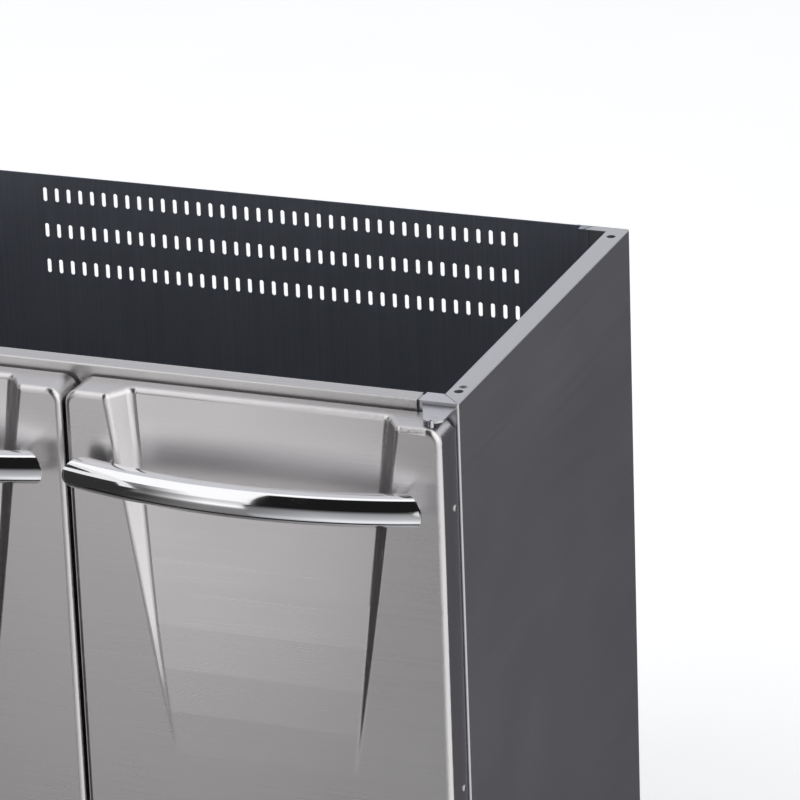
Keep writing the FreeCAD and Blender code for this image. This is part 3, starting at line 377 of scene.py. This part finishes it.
# Low in front: doors and the handle's lower half
LOW_LEFT_STEPS = [
    (-84, 0.02), (-74, 0.22), (-38, 0.25), (-26, 0.34), (-14, 1.3), (2, 0.92), (14, 0.72), (24, 1)]
LOW_RIGHT_STEPS = [
    (-82, 0.02), (-74, 0.85), (-60, 0.85), (-42, 0.5), (-22, 0.38), (-8, 0.3), (6, 0.06)]
arch("front_low_left", (-0.66, -0.32), (-100, 24), (1, 0.985, 0.985), LOW_LEFT_STEPS,
     fade=((-0.62, 0.17), (-0.44, 1)))
arch("front_low_right", (-0.32, 0.24), (-100, 9), (0.99, 1, 1.02), LOW_RIGHT_STEPS,
     fade=((-0.32, 0.5), (-0.1, 1.15)))
arch("right_low", (0.24, 0.64), (-100, 20), (1, 0.99, 0.98), [(-30, 0.7), (-6, 0.85)])

# To the right: light for rounded edges, and behind it the dark that the side panel mirrors
wedge("right_low_box", (40, 118), (-60, 0), WHITE, 1)
wedge("right_box", (40, 118), (0, 70), WHITE, 1.4)
wedge("right_rear", (118, 130), (-90, 8), WHITE, 0.5)
wedge("rear_right", (130, 192), (-90, 8), (0.94, 0.925, 1.03), 0.092)

# To the left: dark for the scoop's right wall
arch("left_flag", (-1, -0.66), (-165, 3), WHITE, 0.035)
arch("left_high_flag", (-1, -0.7), (3, 24), WHITE, 0.035)
arch("left_top_flag", (-1, -0.72), (50, 104), WHITE, 0.035)

# World: soft light for the object, plain white where the background is seen
AMBIENT_COLOR = (0.97, 0.98, 1)
AMBIENT_STRENGTH = 0.65


def backdrop(tree, color, strength):
    """Even light from all around."""
    node = tree.nodes.new("ShaderNodeBackground")
    node.inputs["Color"].default_value = (*color, 1)
    node.inputs["Strength"].default_value = strength
    return node.outputs[0]


world = bpy.data.worlds.new("studio")
scene.world = world
world.use_nodes = True
world_tree = world.node_tree
world_tree.nodes.clear()
choose = world_tree.nodes.new("ShaderNodeMixShader")
world_tree.links.new(seen(world_tree), choose.inputs[0])
world_tree.links.new(backdrop(world_tree, AMBIENT_COLOR, AMBIENT_STRENGTH), choose.inputs[1])
world_tree.links.new(backdrop(world_tree, WHITE, 1), choose.inputs[2])
world_out = world_tree.nodes.new("ShaderNodeOutputWorld")
world_tree.links.new(choose.outputs[0], world_out.inputs["Surface"])

# Key light: soft, from the upper left in front
KEY_PLACE = Vector((-1.8, -2, 3.2))
KEY_TARGET = Vector((0, 0, 0.4))
KEY_SIDE = 2.2
KEY_POWER = 70
key_data = bpy.data.lights.new("key", "AREA")
key_data.shape = "RECTANGLE"
key_data.size = KEY_SIDE
key_data.size_y = KEY_SIDE
key_data.energy = KEY_POWER
key = bpy.data.objects.new("key", key_data)
key.location = KEY_PLACE
key.rotation_euler = (KEY_TARGET - KEY_PLACE).to_track_quat("-Z", "Y").to_euler()
key.visible_glossy = False
scene.collection.objects.link(key)

# Camera: long lens, set on the outer top front corner of the right side panel
AZIMUTH = math.radians(21.727)
ELEVATION = math.radians(21.56)
ROLL = math.radians(-2.124)
DISTANCE = 4.9126
SHIFT_RIGHT = -0.05457
SHIFT_UP = 0.00393
FOCAL_PX = 5257.5
PICTURE_PX = 800
SENSOR_MM = 36
side_low, side_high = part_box("side_panel_right")
corner = Vector((side_high[0], side_low[1], side_high[2]))
back = Vector((
    math.sin(AZIMUTH) * math.cos(ELEVATION),
    -math.cos(AZIMUTH) * math.cos(ELEVATION),
    math.sin(ELEVATION),
))
right = Vector((math.cos(AZIMUTH), math.sin(AZIMUTH), 0))
up = back.cross(right)
turned_right = math.cos(ROLL) * right + math.sin(ROLL) * up
turned_up = -math.sin(ROLL) * right + math.cos(ROLL) * up
camera_data = bpy.data.cameras.new("camera")
camera_data.sensor_width = SENSOR_MM
camera_data.lens = SENSOR_MM * FOCAL_PX / PICTURE_PX
camera_data.clip_end = 100
camera = bpy.data.objects.new("camera", camera_data)
camera_place = corner + SHIFT_RIGHT * turned_right + SHIFT_UP * turned_up + DISTANCE * back
camera_turn = Matrix((turned_right, turned_up, back)).transposed().to_4x4()
camera.matrix_world = Matrix.Translation(camera_place) @ camera_turn
scene.collection.objects.link(camera)
scene.camera = camera
